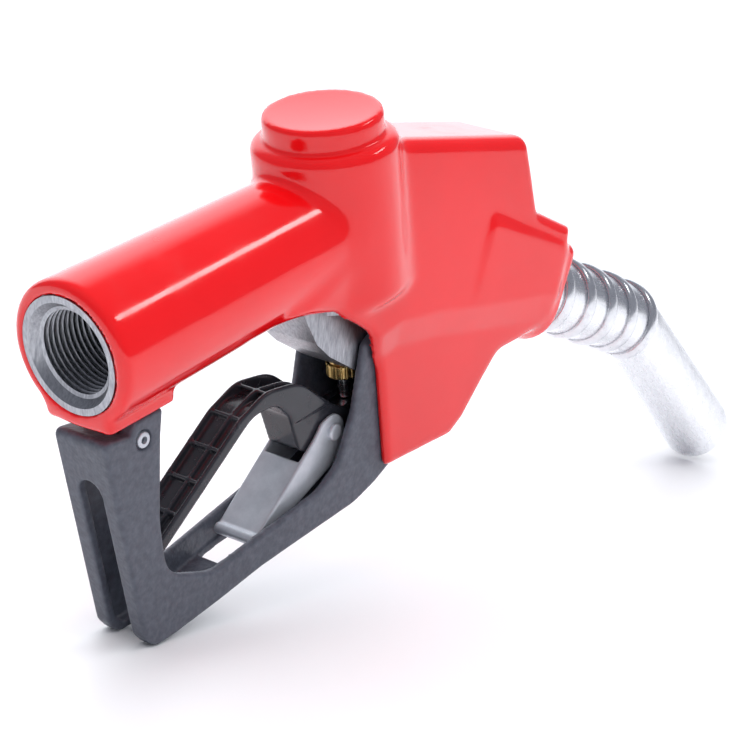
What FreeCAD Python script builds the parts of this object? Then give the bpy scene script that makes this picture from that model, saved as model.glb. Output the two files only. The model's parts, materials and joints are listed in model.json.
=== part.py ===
import FreeCAD, Part
import math
import os
import Sketcher

# Automatic shut-off fuel nozzle.  Every outline below is drawn in the handle frame: X runs along
# the handle from the hose inlet towards the spout, Z is the axis of the screwed cap and main valve,
# and the origin is the centre of the inlet face.  At the end each sub-part is tilted about Y by the
# stance angle, so that +Z is up when the nozzle stands on the heel of its guard and its spout tip,
# and the origin moves inwards along the inlet to its first full thread.

document = FreeCAD.newDocument("fuel_nozzle")
sheet = document.addObject("Spreadsheet::Sheet", "sheet")

DRIVING_DIMENSIONS = {
    "stance_tilt": 13.9,
    "origin_inset": 3.0,
    # hose inlet, three-quarter inch taper pipe thread drawn as rings
    "inlet_face_radius": 17.0,
    "thread_minor_radius": 12.0,
    "thread_depth": 1.1,
    "thread_pitch": 1.814,
    "thread_length": 18.14,
    # grip cover
    "cover_wall": 2.4,
    "grip_radius_rear": 21.06,
    "grip_radius_front": 18.67,
    "grip_length": 100.0,
    "inlet_lip": 1.2,
    "collar_radius": 21.35,
    "collar_top": 26.1,
    "disc_radius": 17.5,
    "disc_top": 34.0,
    "hump_width": 27.0,
    "flank_width": 36.0,
    "nose_width": 34.0,
    "skirt_width": 31.0,
    "saddle_width": 24.8,
    # main valve
    "cap_axis": 105.2,
    "chamber_radius": 14.0,
    "seat_height": -10.0,
    "stem_radius": 1.7,
    "stem_bottom": -57.4,
    "boss_width": 20.6,
    "gland_radius": 4.2,
    "nut_radius": 4.9,
    # outlet and spout
    "outlet_origin_z": -1.05,
    "outlet_angle": 32.0,
    "nose_length": 102.0,
    "nose_radius": 17.0,
    "nose_bore_radius": 13.6,
    "spout_radius": 11.9,
    "spout_wall": 1.2,
    "spout_bend_at": 164.7,
    "spout_bend_radius": 42.0,
    "spout_tip_angle": 54.6,
    "spout_tip_length": 76.5,
    "coil_pitch": 13.2,
    # latch plunger and lever
    "lever_pivot_x": 128.5,
    "lever_pivot_z": -60.0,
    "plunger_tilt": 18.4,
    "plunger_radius": 3.5,
    "pivot_pin_radius": 1.5,
    "lever_width": 13.0,
    "latch_pin_x": 90.8,
    "latch_pin_z": -60.7,
    "latch_width": 15.4,
    "latch_sheet": 1.2,
    # guard
    "guard_width_rear": 19.6,
    "guard_width_front": 26.0,
    "guard_wall": 2.3,
    "guard_slot_width": 8.8,
    # clearances
    "running_gap": 0.05,
    "loose_gap": 0.3,
}

row = 1
size = {}
for alias, value in DRIVING_DIMENSIONS.items():
    sheet.set(f"A{row}", alias)
    sheet.set(f"B{row}", str(value))
    sheet.setAlias(f"B{row}", alias)
    size[alias] = value
    row += 1
document.recompute()

VECTOR = FreeCAD.Vector
AXIS_Y = VECTOR(0, 1, 0)
AXIS_Z = VECTOR(0, 0, 1)
sub_parts = []


# ---------------------------------------------------------------- placements

def placed(x=0.0, y=0.0, z=0.0, rotation=None):
    return FreeCAD.Placement(VECTOR(x, y, z), rotation or FreeCAD.Rotation())


def pointing(direction):
    """Rotation that turns local Z to a direction."""
    return FreeCAD.Rotation(AXIS_Z, VECTOR(*direction))


def lateral(y, x=0.0, z=0.0):
    """A frame whose Z runs along +Y."""
    return placed(x, y, z, pointing((0, 1, 0)))


OUTLET_DIRECTION = (
    math.cos(math.radians(size["outlet_angle"])),
    0.0,
    -math.sin(math.radians(size["outlet_angle"])),
)
PLUNGER_DIRECTION = (
    math.sin(math.radians(size["plunger_tilt"])),
    0.0,
    math.cos(math.radians(size["plunger_tilt"])),
)
TIP_DIRECTION = (
    math.cos(math.radians(size["spout_tip_angle"])),
    0.0,
    -math.sin(math.radians(size["spout_tip_angle"])),
)


def on_cap_axis(z=0.0):
    return placed(size["cap_axis"], 0, z)


def on_handle_axis(x=0.0):
    return placed(x, 0, 0, pointing((1, 0, 0)))


def on_outlet_axis(along=0.0):
    start = VECTOR(size["cap_axis"], 0, size["outlet_origin_z"])
    spot = start + VECTOR(*OUTLET_DIRECTION) * along
    rotation = FreeCAD.Rotation(AXIS_Y, 90 + size["outlet_angle"])
    return FreeCAD.Placement(spot, rotation)


def on_plunger_axis(along=0.0):
    start = VECTOR(size["lever_pivot_x"], 0, size["lever_pivot_z"])
    spot = start + VECTOR(*PLUNGER_DIRECTION) * along
    return FreeCAD.Placement(spot, FreeCAD.Rotation(AXIS_Y, size["plunger_tilt"]))


# ---------------------------------------------------------------- sketches and solids

def origin_plane(body, role):
    for feature in body.Origin.OriginFeatures:
        if feature.Role == role:
            return feature
    raise ValueError(f"no plane {role}")


def rounded_edges(outline):
    """Lines and arcs through (x, y) or (x, y, radius) corners of a closed outline."""
    count = len(outline)
    corners = []
    for index in range(count):
        here = outline[index]
        point = VECTOR(here[0], here[1], 0)
        radius = here[2] if len(here) > 2 else 0.0
        before = outline[index - 1]
        after = outline[(index + 1) % count]
        to_before = (VECTOR(before[0], before[1], 0) - point).normalize()
        to_after = (VECTOR(after[0], after[1], 0) - point).normalize()
        half_angle = to_before.getAngle(to_after) / 2
        if radius > 0 and half_angle < math.pi / 2 - 1e-4:
            run = radius / math.tan(half_angle)
            bisector = (to_before + to_after).normalize()
            centre = point + bisector * (radius / math.sin(half_angle))
            corners.append((point + to_before * run, centre - bisector * radius, point + to_after * run))
        else:
            corners.append((point, None, point))
    edges = []
    for index in range(count):
        entry, middle, leave = corners[index]
        if middle is not None:
            edges.append(Part.Arc(entry, middle, leave))
        target = corners[(index + 1) % count][0]
        if (target - leave).Length > 1e-6:
            edges.append(Part.LineSegment(leave, target))
    return edges


def add_sketch(body, name, role, outlines):
    sketch = body.newObject("Sketcher::SketchObject", name)
    sketch.AttachmentSupport = [(origin_plane(body, role), "")]
    sketch.MapMode = "FlatFace"
    for outline in outlines:
        first = sketch.GeometryCount
        edges = rounded_edges(outline)
        for edge in edges:
            sketch.addGeometry(edge, False)
        for index in range(len(edges)):
            sketch.addConstraint(Sketcher.Constraint("Block", first + index))
    return sketch


def plate(name, outline, width, holes=()):
    """A body padded both ways from the XZ plane; width is a sheet expression."""
    body = document.addObject("PartDesign::Body", name)
    sketch = add_sketch(body, name + "_outline", "XZ_Plane", [outline, *holes])
    pad = body.newObject("PartDesign::Pad", name + "_pad")
    pad.Profile = sketch
    pad.Midplane = True
    pad.setExpression("Length", width)
    body.Tip = pad
    return body


def flat(name, outline, bottom, height):
    """A body padded upwards from the XY plane, lifted to z = bottom."""
    body = document.addObject("PartDesign::Body", name)
    sketch = add_sketch(body, name + "_outline", "XY_Plane", [outline])
    pad = body.newObject("PartDesign::Pad", name + "_pad")
    pad.Profile = sketch
    pad.setExpression("Length", height)
    body.Tip = pad
    body.Placement = placed(0, 0, bottom)
    return body


def turned(name, outline, placement=None):
    """A body of revolution about local Z; outline corners are (radius, z)."""
    body = document.addObject("PartDesign::Body", name)
    sketch = add_sketch(body, name + "_outline", "XZ_Plane", [outline])
    revolution = body.newObject("PartDesign::Revolution", name + "_turn")
    revolution.Profile = sketch
    revolution.ReferenceAxis = (sketch, ["V_Axis"])
    revolution.Angle = 360
    body.Tip = revolution
    body.Placement = placement or placed()
    return body


def rod(name, radius, height, placement):
    part = document.addObject("Part::Cylinder", name)
    part.setExpression("Radius", str(radius))
    part.setExpression("Height", str(height))
    part.Placement = placement
    return part


def cone(name, radius_start, radius_end, height, placement):
    part = document.addObject("Part::Cone", name)
    part.setExpression("Radius1", str(radius_start))
    part.setExpression("Radius2", str(radius_end))
    part.setExpression("Height", str(height))
    part.Placement = placement
    return part


def block(name, length, width, height, x, z):
    """A box centred on the XZ plane, from x and z upwards."""
    part = document.addObject("Part::Box", name)
    part.setExpression("Length", str(length))
    part.setExpression("Width", str(width))
    part.setExpression("Height", str(height))
    part.setExpression("Placement.Base.x", str(x))
    part.setExpression("Placement.Base.y", f"-({width}) / 2")
    part.setExpression("Placement.Base.z", str(z))
    return part


def ring(name, radius, thickness, placement):
    part = document.addObject("Part::Torus", name)
    part.setExpression("Radius1", str(radius))
    part.setExpression("Radius2", str(thickness))
    part.Placement = placement
    return part


def ball(name, radius, placement):
    part = document.addObject("Part::Sphere", name)
    part.setExpression("Radius", str(radius))
    part.Placement = placement
    return part


def joined(name, parts):
    fuse = document.addObject("Part::MultiFuse", name)
    fuse.Shapes = parts
    return fuse


def less(name, base, tools):
    """base with every tool cut away."""
    cut = document.addObject("Part::Cut", name)
    cut.Base = base
    cut.Tool = tools[0] if len(tools) == 1 else joined(name + "_tools", tools)
    return cut


def common(name, parts):
    meet = document.addObject("Part::MultiCommon", name)
    meet.Shapes = parts
    return meet


def group(name, parts):
    """Separate solids of one kind, held in one sub-part."""
    bundle = document.addObject("Part::Compound", name)
    bundle.Links = parts
    return bundle


def coil(name, radius, wire, pitch, height, placement, wire_half_length=None):
    """Helical spring; wire_half_length makes the wire oval along the axis."""
    helix = document.addObject("Part::Helix", name + "_helix")
    helix.setExpression("Radius", str(radius))
    helix.setExpression("Pitch", str(pitch))
    helix.setExpression("Height", str(height))
    section = document.addObject("Part::Ellipse", name + "_wire")
    section.setExpression("MajorRadius", str(wire_half_length or wire * 1.001))
    section.setExpression("MinorRadius", str(wire))
    upright = FreeCAD.Rotation(VECTOR(0, 0, 1), VECTOR(1, 0, 0), AXIS_Y, "ZXY")
    section.Placement = FreeCAD.Placement(VECTOR(size_of(radius), 0, 0), upright)
    sweep = document.addObject("Part::Sweep", name)
    sweep.Sections = [section]
    sweep.Spine = (helix, ["Edge1"])
    sweep.Solid = True
    sweep.Frenet = True
    sweep.Placement = placement
    return sweep


def size_of(expression):
    """Value of a plain number or of a sheet expression with + and - terms."""
    total = 0.0
    for term in str(expression).replace(" - ", " + -").split(" + "):
        sign = -1.0 if term.startswith("-sheet") else 1.0
        word = term.lstrip("-") if term.startswith("-sheet") else term
        value = size[word.replace("sheet.", "")] if "sheet." in word else float(word)
        total += sign * value
    return total


def keep(part, label):
    """Marks a finished sub-part; its Label is its file name."""
    part.Label = label
    sub_parts.append(part)
    return part


# ---------------------------------------------------------------- casting

REAR_SCREW = (14.2, -28.4)
FRONT_SCREWS = ((118, -36.5), (134, -36.5))


def thread_profile():
    """Bore of the inlet: a countersink, then V rings with flat crests at the minor radius."""
    minor = size["thread_minor_radius"]
    pitch = size["thread_pitch"]
    depth = size["thread_depth"]
    crest = 0.3 * pitch
    groove = pitch - crest
    corners = [(0, -1), (15.0, -1), (15.0, 0), (minor + depth, 2.4)]
    along = 2.4 + 0.35 * groove
    rings = round(size["thread_length"] / pitch)
    for _ in range(rings):
        corners.append((minor, along))
        corners.append((minor, along + crest))
        corners.append((minor + depth, along + crest + groove / 2))
        along += pitch
    corners.append((minor, along))
    corners.append((minor, along + 3))
    corners.append((11.0, along + 4))
    corners.append((11.0, size["cap_axis"] - 6))
    corners.append((0, size["cap_axis"] - 6))
    return corners


HUMP_OUTLINE = [
    (96, -26), (96, 22), (114, 22.9, 2), (177.5, 1.6, 5), (180.2, -22.6, 2),
    (192, -33), (180, -46), (158, -44), (108, -30),
]
NOSE_OUTLINE = [
    (120, -10), (176, -18), (181, -22.8, 3), (201.0, -40.2, 4), (191.7, -55.1), (166, -45), (118, -32),
]
KEEL_OUTLINE = [
    (150, -40), (153.5, -66.6), (160.2, -61.9, 6), (172, -62.4, 10), (180.8, -66.4, 3), (189.5,
                                                                                         -55), (166, -40),
]
FLANK_OUTLINE = [
    (76, -8), (104, 14, 6), (150, -2, 6), (178, -24, 5), (190, -40, 6), (176, -49.5, 6),
    (152, -41.5, 40), (128, -34.5, 40), (103, -31.5, 6), (92, -19, 12), (84, -12, 8),
]
SKIRT_OUTLINE = [
    (86, -14, 6), (99, -30, 10), (103.5, -42, 12), (104, -76.6, 2.5), (134.5, -79.2, 5),
    (152, -67.4, 30), (163, -60), (172, -52), (150, -20), (110, -14),
]
BOSS_OUTLINE = [
    (78, -14), (84, -29, 4), (89, -35, 5), (100.5, -44.5, 3), (111.5, -44.5, 4),
    (120, -41), (143, -41, 4), (152, -32), (150, -14),
]


def inset(outline, amount):
    """Outline moved inwards by amount, corner by corner."""
    area = 0.0
    for index in range(len(outline)):
        x1, y1 = outline[index - 1][:2]
        x2, y2 = outline[index][:2]
        area += x1 * y2 - x2 * y1
    side = 1.0 if area > 0 else -1.0
    moved = []
    for index in range(len(outline)):
        here = VECTOR(*outline[index][:2], 0)
        before = VECTOR(*outline[index - 1][:2], 0)
        after = VECTOR(*outline[(index + 1) % len(outline)][:2], 0)
        arriving = (here - before).normalize()
        leaving = (after - here).normalize()
        normal_in = VECTOR(-arriving.y, arriving.x, 0) * side
        normal_out = VECTOR(-leaving.y, leaving.x, 0) * side
        bisector = (normal_in + normal_out).normalize()
        shift = amount / max(0.3, bisector.dot(normal_in))
        spot = here + bisector * shift
        radius = outline[index][2] if len(outline[index]) > 2 else 0.0
        moved.append((spot.x, spot.y, max(0.0, radius - amount)))
    return moved


def casting_envelope(name):
    """Outside of the aluminium casting, before it is bored."""
    wall = size["cover_wall"]
    handle = cone(
        name + "_handle",
        "sheet.grip_radius_rear - sheet.cover_wall",
        "sheet.grip_radius_front - sheet.cover_wall",
        "sheet.grip_length",
        on_handle_axis(),
    )
    chamber = rod(
        name + "_chamber",
        "sheet.collar_radius - sheet.cover_wall",
        "sheet.collar_top - sheet.cover_wall + 22",
        on_cap_axis(-22),
    )
    hump = plate(name + "_hump", inset(HUMP_OUTLINE, wall), "sheet.hump_width - 2 * sheet.cover_wall")
    nose = plate(name + "_nose", inset(NOSE_OUTLINE, wall), "sheet.nose_width - 2 * sheet.cover_wall")
    flank = plate(name + "_flank", inset(FLANK_OUTLINE, wall), "sheet.flank_width - 2 * sheet.cover_wall")
    keel = plate(name + "_keel", inset(KEEL_OUTLINE, wall), "sheet.hump_width - 2 * sheet.cover_wall")
    barrel = rod(name + "_barrel", "sheet.nose_radius - 2.2", 40,
                 on_outlet_axis(size["nose_length"] - wall - 40))
    boss = plate(name + "_boss", BOSS_OUTLINE, "sheet.boss_width")
    lug = plate(name + "_lug", [(9, -12), (9, -32.4, 1.5), (19.4, -32.4, 1.5), (19.4, -12)], "10")
    return joined(name, [handle, chamber, hump, nose, flank, keel, barrel, boss, lug])


def make_casting():
    outside = casting_envelope("casting_outside")
    bore = turned("inlet_bore", thread_profile(), on_handle_axis())
    face = less(
        "inlet_face_step",
        rod("inlet_step_outer", 30, "sheet.inlet_lip", on_handle_axis()),
        [rod("inlet_step_inner", "sheet.inlet_face_radius", 3, on_handle_axis(-1))],
    )
    chamber = rod("valve_chamber", "sheet.chamber_radius", 60, on_cap_axis(-14))
    lower = rod("lower_chamber", 10, 18, on_cap_axis(-31.5))
    gland_hole = rod("gland_hole", "sheet.stem_radius + 0.4", 20, on_cap_axis(-46))
    gland = rod("gland_bore", "sheet.gland_radius", 8, on_cap_axis(-46))
    passage = rod("outlet_passage", 9, 68, placed(size["cap_axis"], 0, -20.6, pointing((62.8, 0, -20.3))))
    around_plunger = rod("plunger_chamber", 11.5, 16, on_plunger_axis(23.5))
    nose_bore = rod("nose_bore", "sheet.nose_bore_radius", 60, on_outlet_axis(62))
    plunger_post = rod("plunger_post", 6.0, 24, on_plunger_axis(21))
    plunger_bore = rod("plunger_bore", "sheet.plunger_radius + sheet.loose_gap", 60, on_plunger_axis(10))
    ring_seat = rod("latch_ring_seat", 5.5, 30, on_plunger_axis(42))
    vacuum_chamber = rod("vacuum_chamber", 9.0, 12, on_plunger_axis(57))
    cover_step = flat("cover_step", [(-17, -13.5), (16.5, -13.5), (16.5, 13.5), (-17, 13.5)], 0, "30")
    cover_step.Placement = on_plunger_axis(65.2)
    bored = less("casting_bored", outside, [bore, face, chamber, lower, gland_hole, gland, passage,
                                            around_plunger, nose_bore])
    posted = joined("casting_posted", [bored, plunger_post])
    lug_hole = rod("lug_hole", 1.55, 30, lateral(-15, *REAR_SCREW))
    screw_holes = [rod(f"vacuum_screw_hole_{i}", 1.25, 12, on_vacuum_screw(i, 56)) for i in range(4)]
    ear_seats = less("guard_ear_seats", block("ear_seats_outer", 46.2, 60, 28, 100, -60.2),
                     [block("ear_seats_inner", 60, "sheet.boss_width", 40, 95, -65)])
    guard_holes = [rod(f"guard_screw_hole_{i}", 1.45, 40, lateral(-20, *spot)) for i,
                   spot in enumerate(FRONT_SCREWS)]
    cut = less("valve_body_cut", posted, [plunger_bore, ring_seat, vacuum_chamber, cover_step,
                                          ear_seats, lug_hole, *screw_holes, *guard_holes])
    return keep(cut, "valve_body")


def on_vacuum_screw(index, along):
    """Frame of one of the four diaphragm cover screws, at the corners of the cover."""
    offset_x = (-11.6, 11.6, 11.6, -11.6)[index]
    offset_y = (-9.2, -9.2, 9.2, 9.2)[index]
    frame = on_plunger_axis(along)
    shift = frame.Rotation.multVec(VECTOR(offset_x, offset_y, 0))
    return FreeCAD.Placement(frame.Base + shift, frame.Rotation)


# ---------------------------------------------------------------- grip cover

def make_grip_cover():
    grip = cone("cover_grip", "sheet.grip_radius_rear", "sheet.grip_radius_front",
                "sheet.grip_length", on_handle_axis())
    collar = rod("cover_collar", "sheet.collar_radius", "sheet.collar_top + 20", on_cap_axis(-20))
    disc = turned("cover_disc", [
        (0, 20), (size["disc_radius"], 20), (size["disc_radius"], size["disc_top"], 2.0),
        (size["disc_radius"] - 3.5, size["disc_top"], 1.0), (size["disc_radius"] - 5,
                                                             size["disc_top"] - 1, 2),
        (0, size["disc_top"] - 1),
    ], on_cap_axis())
    hump = plate("cover_hump", HUMP_OUTLINE, "sheet.hump_width")
    nose = plate("cover_nose", NOSE_OUTLINE, "sheet.nose_width")
    flank = plate("cover_flank", FLANK_OUTLINE, "sheet.flank_width")
    skirt = plate("cover_skirt", SKIRT_OUTLINE, "sheet.skirt_width")
    saddle = plate("cover_saddle", [(0, -10), (0, -20.6, 2), (25.5, -21.2, 2), (25.5, -10)],
                   "sheet.saddle_width")
    keel = plate("cover_keel", KEEL_OUTLINE, "sheet.hump_width")
    barrel = rod("cover_barrel", "sheet.nose_radius", 42, on_outlet_axis(size["nose_length"] - 42))
    outside = joined("cover_outside", [grip, collar, disc, hump, nose, flank, keel, barrel, skirt,
                                       saddle])
    cavity = less("cover_cavity_behind_lip", casting_envelope("cover_cavity"),
                  [rod("cover_lip", 30, "sheet.inlet_lip", on_handle_axis())])
    mouth = rod("cover_mouth", "sheet.inlet_face_radius", 6, on_handle_axis(-3))
    cap_room = rod("cap_room", 15.4, 11, on_cap_axis(20))
    nose_mouth = rod("nose_mouth", "sheet.nose_bore_radius + 0.6", 20, on_outlet_axis(96))
    skirt_room = plate("skirt_room", [
        (82, -24), (96, -90), (131, -84), (140, -70.5), (152, -62), (152, -44), (148, -24),
    ], "sheet.skirt_width - 2 * sheet.cover_wall")
    arch_room = plate("arch_room", [(60, -21), (87, -18.5, 6), (99, -30, 8), (103.5, -42, 10),
                                    (104, -90), (60, -90)],
                      "60")
    vacuum_room = flat("vacuum_room", [(-14.9, -12.6), (14.6, -12.6), (14.6, 12.6), (-14.9, 12.6)], 0,
                       "7.1")
    vacuum_room.Placement = on_plunger_axis(65.0)
    cover = less("grip_cover_cut", outside, [cavity, mouth, cap_room, nose_mouth, skirt_room,
                                             arch_room, vacuum_room])
    return keep(cover, "grip_cover")


# ---------------------------------------------------------------- cap and main valve

def make_cap():
    top = size["collar_top"] - size["cover_wall"]
    plug_radius = size["chamber_radius"] - 0.02
    cap = turned("main_cap_turn", [
        (0, 22), (9.6, 22), (9.6, 14), (plug_radius, 14), (plug_radius, 18.0), (12.3, 18.0),
        (12.3, 20.6), (plug_radius, 20.6), (plug_radius, top), (15.2, top), (15.2, 29.5, 1),
        (0, 29.5),
    ], on_cap_axis())
    wrench_slots = [block(f"cap_slot_{i}", 40, 3, 4, size["cap_axis"] - 20, 27.8) for i in range(2)]
    wrench_slots[1].Placement = FreeCAD.Placement(
        VECTOR(size["cap_axis"] + 1.5, -20, 27.8), FreeCAD.Rotation(AXIS_Z, 90))
    keep(less("main_cap_cut", cap, wrench_slots), "main_cap")
    keep(ring("cap_o_ring_torus", 13.13, 0.82, on_cap_axis(19.3)), "cap_o_ring")
    spring = coil("main_spring_coil", 7.2, 0.65, 4.2, 24.0, on_cap_axis(-3.2))
    keep(spring, "main_spring")


def make_main_valve():
    seat = size["seat_height"]
    outer = size["chamber_radius"] - 0.03
    keep(turned("seat_ring_turn", [
        (9.0, seat - 4), (outer, seat - 4), (outer, seat - 1.0), (10.6, seat - 1.0), (10.2, seat), (9.4,
                                                                                                    seat),
        (9.0, seat - 0.6),
    ], on_cap_axis()), "seat_ring")
    stem = size["stem_radius"]
    keep(turned("poppet_disc_turn", [
        (stem + 0.02, seat + 0.02), (11.8, seat + 0.02), (11.8, seat + 2), (stem + 0.02, seat + 2),
    ], on_cap_axis()), "poppet_disc")
    keep(turned("main_poppet_turn", [
        (stem + 0.02, seat + 2.02), (12.6, seat + 2.02), (12.6, 7.0, 0.6), (9.4, 7.0), (9.4, seat + 6),
        (stem + 0.02, seat + 6),
    ], on_cap_axis()), "main_poppet")
    keep(turned("poppet_nut_turn", [
        (stem + 0.02, seat - 3.2), (5.6, seat - 3.2), (5.6, seat), (stem + 0.02, seat),
    ], on_cap_axis()), "poppet_retainer")
    keep(turned("valve_stem_turn", [
        (0, size["stem_bottom"]), (stem, size["stem_bottom"], 0.8), (stem, seat + 7.2), (0, seat + 7.2),
    ], on_cap_axis()), "valve_stem")
    keep(turned("stem_packing_turn", [
        (stem + size["running_gap"], -42.8), (size["gland_radius"] - 0.02, -42.8),
        (size["gland_radius"] - 0.02, -38.2), (stem + size["running_gap"], -38.2),
    ], on_cap_axis()), "stem_packing")


def make_packing_nut():
    gland = size["gland_radius"] - 0.02
    bore = size["stem_radius"] + 0.1
    nut = size["nut_radius"]
    blank = turned("packing_nut_blank", [
        (bore, -42.9), (gland, -42.9), (gland, -45.2), (3.6, -45.2), (3.6, -45.6), (nut, -45.6,
                                                                                    0.4), (nut, -49.8,
                                                                                           0.6),
        (bore, -49.8),
    ], on_cap_axis())
    grooves = []
    count = 20
    for index in range(count):
        angle = 2 * math.pi * index / count
        x = size["cap_axis"] + (nut + 0.15) * math.cos(angle)
        grooves.append(rod(f"knurl_{index}", 0.42, 7, placed(x, (nut + 0.15) * math.sin(angle), -50.4)))
    keep(less("packing_nut_cut", blank, grooves), "packing_nut")


# ---------------------------------------------------------------- vacuum chamber and latch plunger

def make_vacuum_group():
    lid = flat("diaphragm_cover_pad", [
        (-14.8, -12.4, 3), (14.0, -12.4, 3), (14.0, 12.4, 3), (-14.8, 12.4, 3)], 0, "6")
    lid.Placement = on_plunger_axis(66.05)
    dome = rod("diaphragm_cover_room", 8.6, 4.2, on_plunger_axis(66.0))
    holes = [rod(f"cover_screw_hole_{i}", 1.6, 12, on_vacuum_screw(i, 64)) for i in range(4)]
    sinks = [rod(f"cover_screw_sink_{i}", 2.9, 4, on_vacuum_screw(i, 70.0)) for i in range(4)]
    keep(less("diaphragm_cover_cut", lid, [dome, *holes, *sinks]), "diaphragm_cover")
    screws = [turned(f"cover_screw_{i}", [(0, 0), (1.24, 0), (1.24, 14.0), (2.7, 14.0), (2.7, 15.8, 0.5),
                                          (0, 15.8)],
                     on_vacuum_screw(i, 56.1)) for i in range(4)]
    keep(group("diaphragm_cover_screw_set", screws), "diaphragm_cover_screws")
    rubber = flat("diaphragm_pad", [
        (-14.8, -12.4, 3), (14.0, -12.4, 3), (14.0, 12.4, 3), (-14.8, 12.4, 3)], 0, "0.8")
    rubber.Placement = on_plunger_axis(65.22)
    rubber_holes = [rod(f"rubber_hole_{i}", 1.6, 6, on_vacuum_screw(i, 62)) for i in range(4)]
    pin_hole = rod("rubber_pin_hole", 1.7, 6, on_plunger_axis(62))
    keep(less("diaphragm_cut", rubber, [*rubber_holes, pin_hole]), "diaphragm")
    keep(turned("diaphragm_plate_turn", [(1.62, 66.06), (6.4, 66.06), (6.4, 66.9), (1.62, 66.9)],
                on_plunger_axis()), "diaphragm_plate")
    keep(turned("latch_pin_turn", [
        (0, 44.5), (0.7, 44.5), (1.6, 47.0), (1.6, 67.0), (2.6, 67.0), (2.6, 67.8, 0.3), (0, 67.8),
    ], on_plunger_axis()), "latch_pin")
    keep(turned("diaphragm_spring_turn", [(4.35, 67.0), (4.7, 67.0), (3.3, 69.95), (2.95, 69.95)],
                on_plunger_axis()), "diaphragm_spring")
    radius = size["plunger_radius"]
    keep(turned("latch_ring_turn", [
        (radius + size["running_gap"], 42), (5.46, 42), (5.46, 55.5), (radius + size["running_gap"],
                                                                       55.5),
        (radius + size["running_gap"], 52), (4.3, 50.8), (4.3, 42.9), (radius + size["running_gap"],
                                                                       42.9),
    ], on_plunger_axis()), "latch_ring")


def on_ball(index):
    """Centre of one latch ball, and the direction of its radial hole."""
    angle = math.radians(90 + 120 * index)
    return math.cos(angle), math.sin(angle)


def make_plunger():
    radius = size["plunger_radius"]
    shaft = turned("plunger_turn", [
        (0, -4.6), (radius, -4.6, 1.0), (radius, 52.0, 0.5), (1.68, 52.0), (1.68, 41.0), (0, 41.0),
    ], on_plunger_axis())
    pin_hole = rod("plunger_pin_hole", "sheet.pivot_pin_radius + 0.01", 20,
                   lateral(-10, size["lever_pivot_x"], size["lever_pivot_z"]))
    ball_holes = []
    balls = []
    frame = on_plunger_axis(49.0)
    for index in range(3):
        x, y = on_ball(index)
        outwards = frame.Rotation.multVec(VECTOR(x, y, 0))
        ball_holes.append(rod(f"ball_hole_{index}", 1.28, 6,
                              FreeCAD.Placement(frame.Base, pointing(tuple(outwards)))))
        spot = frame.Base + outwards * 2.92
        balls.append(ball(f"latch_ball_{index}", 1.2, placed(spot.x, spot.y, spot.z)))
    keep(less("plunger_cut", shaft, [pin_hole, *ball_holes]), "latch_plunger")
    keep(group("latch_ball_set", balls), "latch_balls")
    pin = size["pivot_pin_radius"]
    half = size["lever_width"] / 2
    keep(turned("pivot_pin_turn", [
        (0, -half - 0.9), (2.4, -half - 0.9, 0.4), (2.4, -half - 0.1), (pin, -half - 0.1),
        (pin, half + 0.9), (0, half + 0.9),
    ], lateral(0, size["lever_pivot_x"], size["lever_pivot_z"])), "lever_pivot_pin")
    keep(turned("pin_clip_turn", [
        (pin + 0.02, half + 0.15), (2.7, half + 0.15), (2.7, half + 0.75), (pin + 0.02, half + 0.75),
    ], lateral(0, size["lever_pivot_x"], size["lever_pivot_z"])), "pivot_pin_clip")


# ---------------------------------------------------------------- lever and hold-open latch

LEVER_OUTLINE = [
    (13.0, -66.6, 1.6), (54.5, -41.2, 14), (66.0, -37.3, 12), (80.0, -40.2, 14), (93.5, -53.4, 14),
    (101, -57.8, 3), (118, -57.6, 6), (124, -54.6, 4), (133.6, -54.8, 5.2), (133.6, -65.2, 5.2),
    (98, -66.2, 6), (84, -65.8, 3), (77.5, -61.5, 3), (74.5, -49.0, 6), (69.6, -43.2, 7), (60, -42.4, 12),
    (14.6, -70.2, 1.6),
]
LEVER_POCKET = [
    (13.2, -60.6), (52.0, -35.0, 14), (66.3, -31.0, 14), (84.0, -34.0, 14), (98.0, -49.0), (92.0, -56.5,
                                                                                            3),
    (78.4, -45.0, 8), (69.6, -41.0, 8), (59.4, -40.5, 10), (17.4, -66.4, 1),
]


def make_lever():
    blank = plate("lever_blank", LEVER_OUTLINE, "sheet.lever_width")
    pocket = plate("lever_pocket", LEVER_POCKET, "sheet.lever_width - 4")
    ribs = []
    for index, along in enumerate((24.0, 36.0, 48.0)):
        height = -66.6 + (along - 13.0) * 0.612
        ribs.append(plate(f"lever_rib_{index}", [
            (along, height - 3.4), (along + 2, height - 2.2), (along + 1.0, height + 0.2), (along - 0.8,
                                                                                            height - 0.8),
        ], "sheet.lever_width - 3"))
    fork_slot = block("lever_fork_slot", 20, "2 * sheet.plunger_radius + 0.6", 20, 121.5, -70)
    pivot_hole = rod("lever_pivot_hole", "sheet.pivot_pin_radius + sheet.running_gap", 40,
                     lateral(-20, size["lever_pivot_x"], size["lever_pivot_z"]))
    latch_hole = rod("lever_latch_hole", 1.52, 40, lateral(-20, size["latch_pin_x"], size["latch_pin_z"]))
    cheek = less("lever_latch_cheek",
                 block("cheek_outer", 26.5, 40, 18.4, 73, -70.4),
                 [block("cheek_inner", 30, "sheet.latch_width - 2 * sheet.latch_sheet - 0.7", 30, 70,
                        -78)])
    ribbed = joined("lever_ribbed", [less("lever_pocketed", blank, [pocket]), *ribs])
    wear_seat = block("wear_seat", 11, 6.1, 2.2, 100, -58.9)
    keep(less("lever_cut", ribbed, [fork_slot, pivot_hole, latch_hole, cheek, wear_seat]),
         "operating_lever")
    keep(plate("wear_pad", [(100.1, -59.9 + 1.05), (110.9, -59.9 + 1.05), (110.9, -57.7, 0.3),
                            (100.1, -57.7, 0.3)],
               "6"), "lever_wear_pad")


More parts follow.
